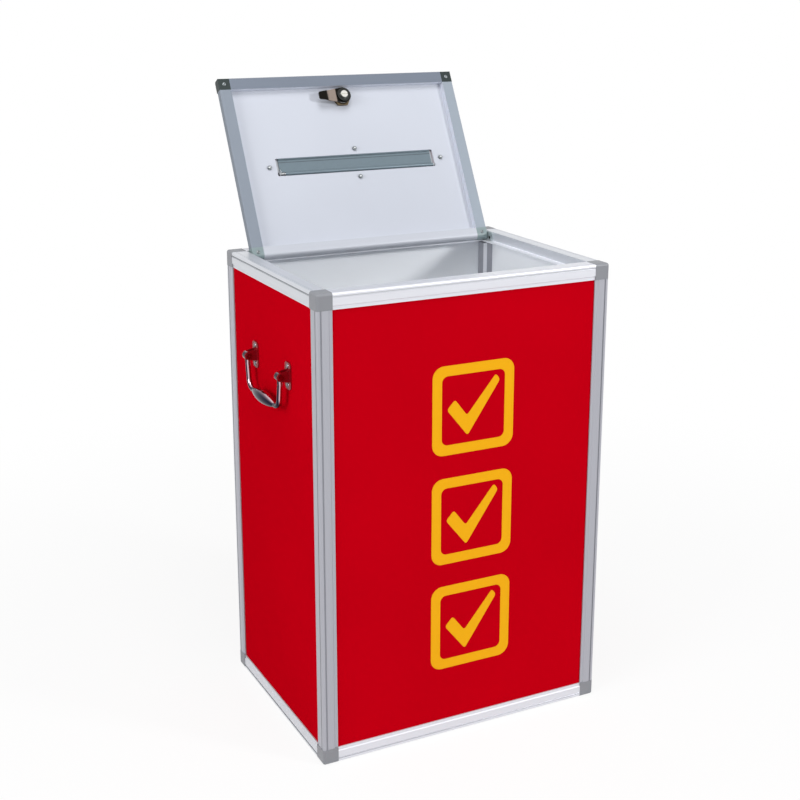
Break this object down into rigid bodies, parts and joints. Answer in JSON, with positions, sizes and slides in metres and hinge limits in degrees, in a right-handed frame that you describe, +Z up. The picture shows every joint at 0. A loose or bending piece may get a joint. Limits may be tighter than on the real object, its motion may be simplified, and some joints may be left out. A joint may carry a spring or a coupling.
{
  "type": "ballot box",
  "caption": "Floor-standing ballot box with an aluminium frame, red panels, a hinged lid with a slot and cam lock, and swing handles.",
  "frame": {"origin": "centre of the footprint, on the plane that the four bottom corners rest on", "axes": "+X to the right seen from the front, +Y to the rear (the hinge side), +Z up"},
  "size_m": [0.4342, 0.3899, 0.8147],
  "materials": {
    "frame_aluminium": "satin anodised",
    "connector_plastic": "moulded grey",
    "panel_composite": "gloss red outside, white inside",
    "chrome": "polished",
    "steel_dark": "blackened",
    "steel_bright": "zinc plated",
    "plate_aluminium": "satin"
  },
  "bodies": {
    "case": {"post_front_left": "frame_aluminium", "post_front_right": "frame_aluminium", "post_rear_left": "frame_aluminium", "post_rear_right": "frame_aluminium", "bottom_rail_front": "frame_aluminium", "bottom_rail_right": "frame_aluminium", "bottom_rail_rear": "frame_aluminium", "bottom_rail_left": "frame_aluminium", "top_rail_front": "frame_aluminium", "top_rail_right": "frame_aluminium", "top_rail_rear": "frame_aluminium", "top_rail_left": "frame_aluminium", "bottom_corner_front_left": "connector_plastic", "bottom_corner_front_right": "connector_plastic", "bottom_corner_rear_left": "connector_plastic", "bottom_corner_rear_right": "connector_plastic", "top_corner_front_left": "connector_plastic", "top_corner_front_right": "connector_plastic", "top_corner_rear_left": "connector_plastic", "top_corner_rear_right": "connector_plastic", "panel_front": "panel_composite", "panel_rear": "panel_composite", "panel_left": "panel_composite", "panel_right": "panel_composite", "panel_bottom": "panel_composite", "hinge_plate_left": "steel_bright", "hinge_plate_right": "steel_bright", "hinge_plate_screws": "steel_dark", "handle_bracket_left_front": "chrome", "handle_bracket_left_rear": "chrome", "handle_bracket_right_front": "chrome", "handle_bracket_right_rear": "chrome", "handle_pins_left": "chrome", "handle_pins_right": "chrome", "handle_rivets_left": "chrome", "handle_rivets_right": "chrome"},
    "handle_left": {"handle_bail_left": "chrome"},
    "handle_right": {"handle_bail_right": "chrome"},
    "lid": {"lid_rail_front": "frame_aluminium", "lid_rail_right": "frame_aluminium", "lid_rail_rear": "frame_aluminium", "lid_rail_left": "frame_aluminium", "lid_corner_front_left": "connector_plastic", "lid_corner_front_right": "connector_plastic", "lid_corner_rear_left": "connector_plastic", "lid_corner_rear_right": "connector_plastic", "lid_panel": "panel_composite", "hinge_pin_left": "steel_bright", "hinge_pin_right": "steel_bright", "slot_plate": "plate_aluminium", "slot_screws": "steel_bright", "slot_nuts": "steel_bright", "flap_pin": "steel_bright", "flap_spring": "steel_bright", "lock_barrel": "chrome", "lock_nut": "chrome"},
    "flap": {"slot_flap": "plate_aluminium"},
    "lock": {"lock_plug": "chrome", "lock_cam": "steel_dark", "cam_screw": "steel_bright"}
  },
  "joints": [
    {"name": "lid_hinge", "type": "hinge", "parent": "case", "child": "lid", "pos_m": [0, 0.1204, 0.5941], "axis": [1, 0, 0], "range_deg": [0, 118]},
    {"name": "handle_left_pivot", "type": "hinge", "parent": "case", "child": "handle_left", "pos_m": [-0.2091, 0, 0.48], "axis": [0, 1, 0], "range_deg": [-4, 184]},
    {"name": "handle_right_pivot", "type": "hinge", "parent": "case", "child": "handle_right", "pos_m": [0.2091, 0, 0.48], "axis": [0, -1, 0], "range_deg": [-4, 184]},
    {"name": "flap_hinge", "type": "hinge", "parent": "lid", "child": "flap", "pos_m": [0, 0.17339, 0.69056], "axis": [1, 0, 0], "range_deg": [0, 75], "stiffness_Nm_per_rad": 0.004, "springref_deg": -85.94, "deforming": ["flap_spring"]},
    {"name": "lock_turn", "type": "hinge", "parent": "lid", "child": "lock", "pos_m": [0, 0.22643, 0.78179], "axis": [0, 0.8829, -0.4695], "range_deg": [0, 90]}
  ]
}
